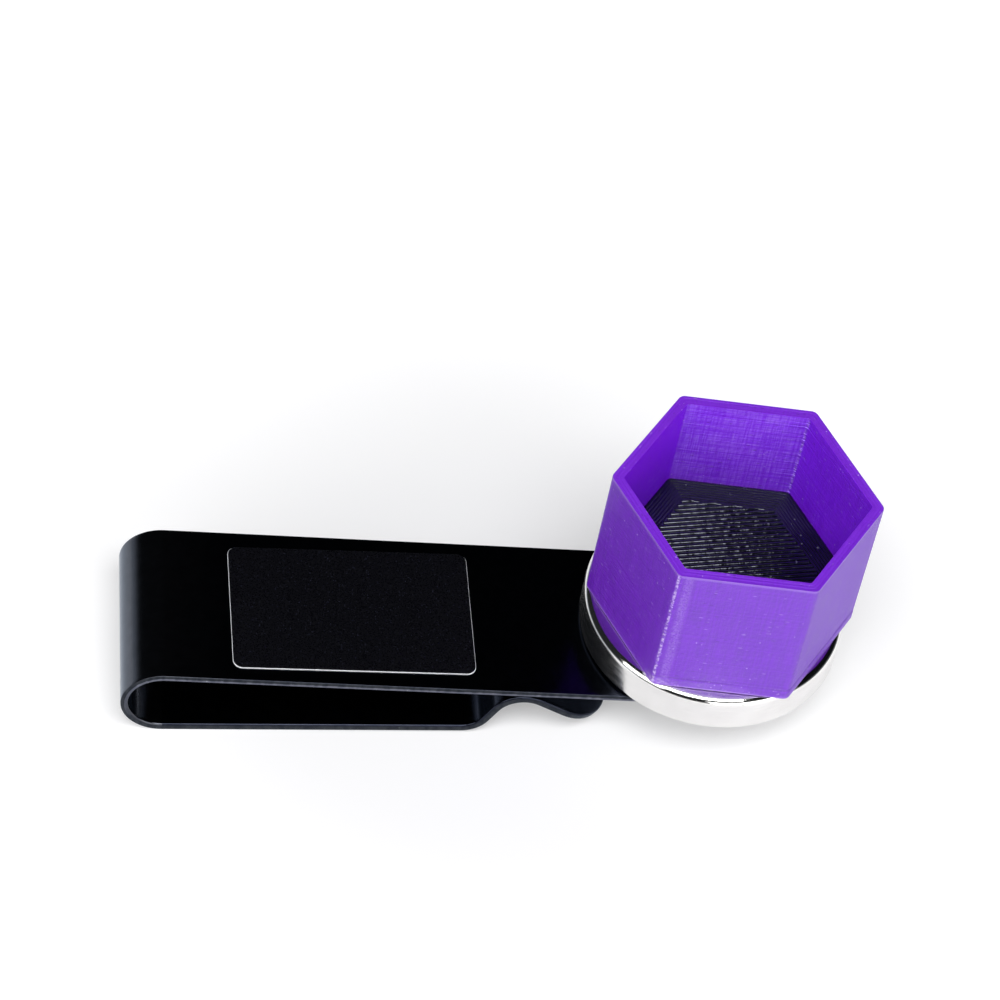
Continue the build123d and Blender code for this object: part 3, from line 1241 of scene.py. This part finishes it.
# %% Start the line rule
line_rule, given, end = new_rule(
    "printed_lines",
    Across_Flats=NUMBER,
    Hexagon_Turn=NUMBER,
    Line_Angle=NUMBER,
    Line_Pitch=NUMBER,
    Line_Count=WHOLE,
    Loop_Count=WHOLE,
    Loop_Pitch=NUMBER,
    Bead_Rise=NUMBER,
    Loop_Rise=NUMBER,
    Unevenness=NUMBER,
    Middle=PLACE,
    Seed=WHOLE,
    Finish=PAINT,
)
point_spacing = 0.28


def turned(geometry, angle):
    """Geometry turned about the upright axis."""
    turn = vector(line_rule, Z=angle)
    return put(line_rule, "GeometryNodeTransform", {"Geometry": geometry, "Rotation": turn})


def repeated(places, shape, **more):
    """Copies of a shape on points, made real."""
    copies = put(line_rule, "GeometryNodeInstanceOnPoints", {"Points": places, "Instance": shape, **more})
    return put(line_rule, "GeometryNodeRealizeInstances", {0: copies})


def evenly(curve):
    """Curve with its points evenly spaced."""
    inputs = {"Curve": curve, "Length": point_spacing}
    return put(line_rule, "GeometryNodeResampleCurve", inputs, mode="LENGTH")


print("line rule:", len(line_rule.interface.items_tree), "sockets")

# %% [markdown]
# Straight lines on the insert
#
# One line is placed on a row of points, the row is turned, and every point of a line that lies further
# out than the loops is deleted. How far out a point lies is the largest of its distances towards the
# hexagon's sides, so the lines end along a smaller hexagon.

# %% Lay the lines
into_loops = 0.2
line_overlength = 1.2
half_flats = given["Across Flats"] * 0.5
line_reach = half_flats - given["Loop Count"] * given["Loop Pitch"] + into_loops
half_line = given["Across Flats"] * line_overlength * 0.5
line_ends = {"Start": vector(line_rule, X=half_line * -1.0), "End": vector(line_rule, X=half_line)}
one_line = put(line_rule, "GeometryNodeCurvePrimitiveLine", line_ends)
row_start = (given["Line Count"] - 1.0) * -0.5 * given["Line Pitch"]
row = {"Start Location": vector(line_rule, Y=row_start), "Offset": vector(line_rule, Y=given["Line Pitch"])}
line_places = put(line_rule, "GeometryNodeMeshLine", {"Count": given["Line Count"], **row})
lines = evenly(turned(repeated(line_places, one_line), given["Line Angle"]))
position = Reading(put(line_rule, "GeometryNodeInputPosition"))
reaches = []
for side in range(3):
    angle = given["Hexagon Turn"] + (pi / 6 + side * pi / 3)
    side_faces = vector(line_rule, X=angle.math("COSINE"), Y=angle.math("SINE"))
    reaches.append(abs(Reading(vector_sum("DOT_PRODUCT", position, side_faces).outputs["Value"])))
too_far = {0: most(*reaches), 1: line_reach}
past_loops = put(line_rule, "FunctionNodeCompare", too_far, operation="GREATER_THAN")
trimming = {"Geometry": lines, "Selection": past_loops}
lines = put(line_rule, "GeometryNodeDeleteGeometry", trimming, domain="POINT")
print("line rule so far:", len(line_rule.nodes), "nodes")

# %% [markdown]
# Loops on the insert
#
# The loops are hexagons, one inside the other. A circle of six points is a hexagon, so one such circle is
# placed many times on the same spot, each copy scaled by its number, and its corners are rounded.

# %% Lay the loops
loop_corner = 0.4
loop_corner_points = 4
same_spot = {"Count": given["Loop Count"], "Offset": (0.0, 0.0, 0.0)}
loop_places = put(line_rule, "GeometryNodeMeshLine", same_spot)
loop_number = Reading(put(line_rule, "GeometryNodeInputIndex"))
loop_reach = (half_flats - (loop_number + 0.5) * given["Loop Pitch"]) / cos(pi / 6)
loop_size = vector(line_rule, X=loop_reach, Y=loop_reach, Z=1.0)
one_loop = put(line_rule, "GeometryNodeCurvePrimitiveCircle", {"Resolution": 6, "Radius": 1.0})
loops = turned(repeated(loop_places, one_loop, Scale=loop_size), given["Hexagon Turn"])
rounding = {"Curve": loops, "Radius": loop_corner, "Count": loop_corner_points}
loops = evenly(put(line_rule, "GeometryNodeFilletCurve", rounding, mode="POLY"))
print("line rule with its loops:", len(line_rule.nodes), "nodes")

# %% [markdown]
# Beads along the tracks
#
# Every track wavers a little, as plastic does when it is drawn out, by a noise that the seed shifts. A
# low round section swept along the tracks makes beads of them, each catching the light on one flank.
# The loops lie closer together, so they are pressed flatter and stay dark.

# %% Sweep the beads
bead_half_share = 0.49
waver_per_mm = 1.3
seed_step = 10.0


def joined(*shapes):
    """Several geometries as one."""
    node = line_rule.nodes.new("GeometryNodeJoinGeometry")
    for shape in shapes:
        line_rule.links.new(Reading(shape).socket, node.inputs[0])
    return node


def beads_along(curves, rise):
    """Low round beads along curves that waver."""
    wavering = put(line_rule, "GeometryNodeSetPosition", {"Geometry": curves, "Offset": waver_size})
    bead_size = vector(line_rule, X=bead_half_width, Y=rise, Z=1.0)
    section = put(line_rule, "GeometryNodeTransform", {"Geometry": bead_ring, "Scale": bead_size})
    sweep = {"Curve": wavering, "Profile Curve": section, "Fill Caps": True}
    return put(line_rule, "GeometryNodeCurveToMesh", sweep)


wander = vector_sum("ADD", position, vector(line_rule, X=given["Seed"] * seed_step))
waver = put(line_rule, "ShaderNodeTexNoise", {"Vector": wander, "Scale": waver_per_mm, "Detail": 2.0})
waver_way = vector_sum("SUBTRACT", Reading(waver.outputs["Color"]), (0.5, 0.5, 0.5))
waver_size = vector_sum("SCALE", Reading(waver_way), given["Unevenness"])
bead_ring = put(line_rule, "GeometryNodeCurvePrimitiveCircle", {"Resolution": 8, "Radius": 1.0})
bead_half_width = given["Line Pitch"] * bead_half_share
line_beads = beads_along(lines, given["Bead Rise"])
loop_beads = beads_along(loops, given["Loop Rise"])
bead_solids = put(line_rule, "GeometryNodeSetShadeSmooth", {"Geometry": joined(line_beads, loop_beads)})
placing = {"Geometry": bead_solids, "Translation": given["Middle"]}
bead_solids = put(line_rule, "GeometryNodeTransform", placing)
end_rule(Reading(joined(given["Geometry"].socket, bead_solids)), given["Finish"], end)
print("whole line rule:", len(line_rule.nodes), "nodes")

# %% [markdown]
# Printing the insert
#
# The rule runs on the block with the sizes of this print. A few lines more than would fit are laid, so
# that the corners are filled too. The beads join the block, and the whole is made a plain mesh as the
# cup was.

# %% Print the insert
line_pitch = 0.60
spare_lines = 8
loop_rise = 0.12
run_rule(
    insert_piece,
    line_rule,
    Across_Flats=insert_across_flats,
    Hexagon_Turn=cup_turn,
    Line_Angle=radians(8.5),
    Line_Pitch=line_pitch,
    Line_Count=int(insert_across_flats / line_pitch) + spare_lines,
    Loop_Count=8,
    Loop_Pitch=0.38,
    Bead_Rise=bead_rise,
    Loop_Rise=loop_rise,
    Unevenness=0.02,
    Middle=(*cup_middle, insert_top - bead_rise),
    Seed=0,
    Finish=insert_black,
)
settle(insert_piece, "insert_black", "cup_insert", body="cup")

# %% [markdown]
# Clear glue
#
# A thin bead of clear glue holds the cup to the magnet. A little was squeezed out and dried to a pale
# haze that takes on the cup's colour. Its finish is a blend of that haze and a deeper tint, with a
# lumpy relief.

# %% Finish the glue
bond, tree, shader = new_material("bond", Specular_IOR_Level=0.5)
where = own_place(tree)
feed(
    shader,
    Base_Color=blend_colour(grain(where, 1600.0), (0.36, 0.26, 0.52), (0.72, 0.66, 0.80)),
    Roughness=between(grain(where, 3200.0), 0.25, 0.5),
    Normal=relief(grain(where, 2400.0), 3e-5),
)
print("finish:", bond.name)

# %% [markdown]
# The glue under the cup
#
# The glue's sheet is drawn a hair inside the cup's foot. Where glue ran out, most of it near the front
# left corner and some at the left one, its edge swells outwards and climbs, by random lumps that are
# smoothed along the outline. It never runs past the magnet's edge.

# %% Build the glue
front_run, left_run, left_share = 2.2, 0.7, 0.8
hair_inside = 0.3
short_of_rim = 0.25
least_squeeze, lump_squeeze = 0.15, 0.5
least_climb, lump_climb = 0.1, 0.6
edge_lift, edge_share = 0.02, 0.3
glue_under, glue_lip, glue_top = 0.5, 0.15, 0.6
glue_seed = 11
lump_width = 5

bond_outline = hexagon(cup_across_flats, cup_corner, front_left, side_steps=40, corner_steps=8)
bond_along, bond_length = bond_outline[2][:-1], bond_outline[2][-1]
front_gap = np.minimum(bond_along, bond_length - bond_along)
left_corner = bond_length * 5 / 6
left_gap = np.abs(bond_along - left_corner)
draws = np.random.default_rng(glue_seed).random(len(bond_along) + lump_width - 1)
lumps = np.convolve(draws, np.ones(lump_width) / lump_width, mode="valid")
front_glue = np.exp(-((front_gap / front_run) ** 2))
left_glue = left_share * np.exp(-((left_gap / left_run) ** 2))
ran_out = np.maximum(front_glue, left_glue)
squeezed = ran_out * (least_squeeze + lump_squeeze * lumps) - hair_inside * (1 - ran_out)
climbs = ran_out * (least_climb + lump_climb * lumps)
spread = bond_outline[0] + bond_outline[1] * squeezed[:, None]
reach = np.linalg.norm(spread, axis=1)[:, None]
seat = (spread * np.minimum(1, (magnet_radius - magnet_edge) / reach), bond_outline[1])
lip = (spread * np.minimum(1, (magnet_radius - short_of_rim) / reach), bond_outline[1])
bond_levels = [(seat, glue_under, 0.0), (seat, 0.0, 0.0), (lip, 0.0, edge_lift + edge_share * climbs)]
bond_levels += [(lip, glue_lip, bond_thickness + climbs), (seat, glue_top, bond_thickness)]
bond_rings = [ring(shape, inset, magnet_thickness + height) for shape, inset, height in bond_levels]
points, faces = skin(bond_rings)
bond_piece = make_piece("cup_glue_bead", points, faces, bond)
settle(bond_piece, "bond", "cup_bond", body="cup")

# %% [markdown]
# The table
#
# The picture has a white ground and a soft shadow. The table is a pale round sheet. For the eye and for
# mirrors it also glows a little, so that it reads as white paper. The glow is weaker near the holder, which
# paints a darker pool of shade round it, where its shadow also falls. The glow follows the kind of ray, so
# it throws no light on the holder.

# %% Set the table
table_radius = 2.5
table_sides = 63
table_colour = (0.62, 0.62, 0.63, 1)
table_paint, tree, shader = new_material(
    "table_white", Base_Color=table_colour, Roughness=0.9, Specular_IOR_Level=0.1
)
path = put(tree, "ShaderNodeLightPath").outputs
seen = most(*(Reading(path[kind]) for kind in ("Is Camera Ray", "Is Glossy Ray", "Is Transmission Ray")))
length = put(tree, "ShaderNodeVectorMath", {0: own_place(tree)}, operation="LENGTH")
from_middle = Reading(length.outputs["Value"])
# Painted shade: the glow is weaker within a few centimetres of the holder, leaving a darker pool round it.
glow_with_painted_shade = seen * between(from_middle, 0.34, 0.62, 0.02, 0.075)
glow = put(tree, "ShaderNodeEmission", {"Color": (1, 1, 1, 1), "Strength": glow_with_painted_shade})
both = put(tree, "ShaderNodeAddShader", {0: shader, 1: glow})
feed(tree.nodes["Material Output"], Surface=Reading(both))
table_mesh = bpy.data.meshes.new("table")
table_turns = np.linspace(0, 2 * pi, table_sides, endpoint=False)
table_edge = [(table_radius * cos(turn), table_radius * sin(turn), 0) for turn in table_turns]
table_mesh.from_pydata(table_edge, [], [list(range(table_sides))])
table_mesh.materials.append(table_paint)
table = bpy.data.objects.new("table", table_mesh)
bpy.context.scene.collection.objects.link(table)
print("table radius, m:", table_radius)

# %% [markdown]
# The soft boxes
#
# A small product is lit by large soft lights close to it. One box hangs above and before the holder,
# placed so that its edge crosses the insert's lines and only their left halves gleam. One stands low in
# front for the cup's front walls and the magnet's side, and one at the left for the bend.

# %% Hang the soft boxes
def soft_box(name, bearing, climb, distance, size, watts):
    """Soft light turned to the holder, from a bearing and a climb in degrees and a distance in metres."""
    level, height = distance * cos(radians(climb)), distance * sin(radians(climb))
    place = Vector((level * cos(radians(bearing)), level * sin(radians(bearing)), height))
    light = bpy.data.lights.new(name, "AREA")
    light.shape = "RECTANGLE"
    light.size, light.size_y = size
    light.energy = watts
    lamp = bpy.data.objects.new(name, light)
    lamp.location = place
    lamp.rotation_euler = (-place).to_track_quat("-Z", "Y").to_euler()
    bpy.context.scene.collection.objects.link(lamp)


soft_box("box_above", bearing=-83, climb=66, distance=0.78, size=(0.592, 0.36), watts=4.8)
soft_box("box_front", bearing=-62, climb=17, distance=0.85, size=(0.80, 0.36), watts=3.2)
soft_box("box_left", bearing=-143, climb=40, distance=0.85, size=(0.50, 0.56), watts=2.5)

# %% [markdown]
# The room
#
# Black steel and nickel look like what they mirror, so the room matters as much as the lamps. It is pale
# near the table, brighter at the left, and dark above and behind the camera, which leaves the plate black
# and gives the magnet its dark streaks. The room's colour is a cool white.

# %% Paint the room
camera_way = (-0.292, -0.956)
world = bpy.data.worlds.new("room")
bpy.context.scene.world = world
world.use_nodes = True
room = world.node_tree
direction = Reading(put(room, "ShaderNodeTexCoord").outputs["Generated"])
way = put(room, "ShaderNodeSeparateXYZ", {0: direction}).outputs
way_x, way_y, way_z = (Reading(way[axis]) for axis in "XYZ")
dim_above = between(way_z, 0.85, 0.02, 0.0, 0.34)
bright_left = between(way_x, 1.0, 0.25, -0.2, 0.5)
towards_camera = way_x * camera_way[0] + way_y * camera_way[1]
behind_camera = between(towards_camera, 1.0, 0.03, 0.66, 0.86)
room.nodes["Background"].inputs["Color"].default_value = (0.86, 0.92, 1.0, 1)
feed(room.nodes["Background"], Strength=dim_above * bright_left * behind_camera)
bpy.context.scene.view_settings.view_transform = "Standard"
print("room:", world.name, "from", len(room.nodes), "nodes")
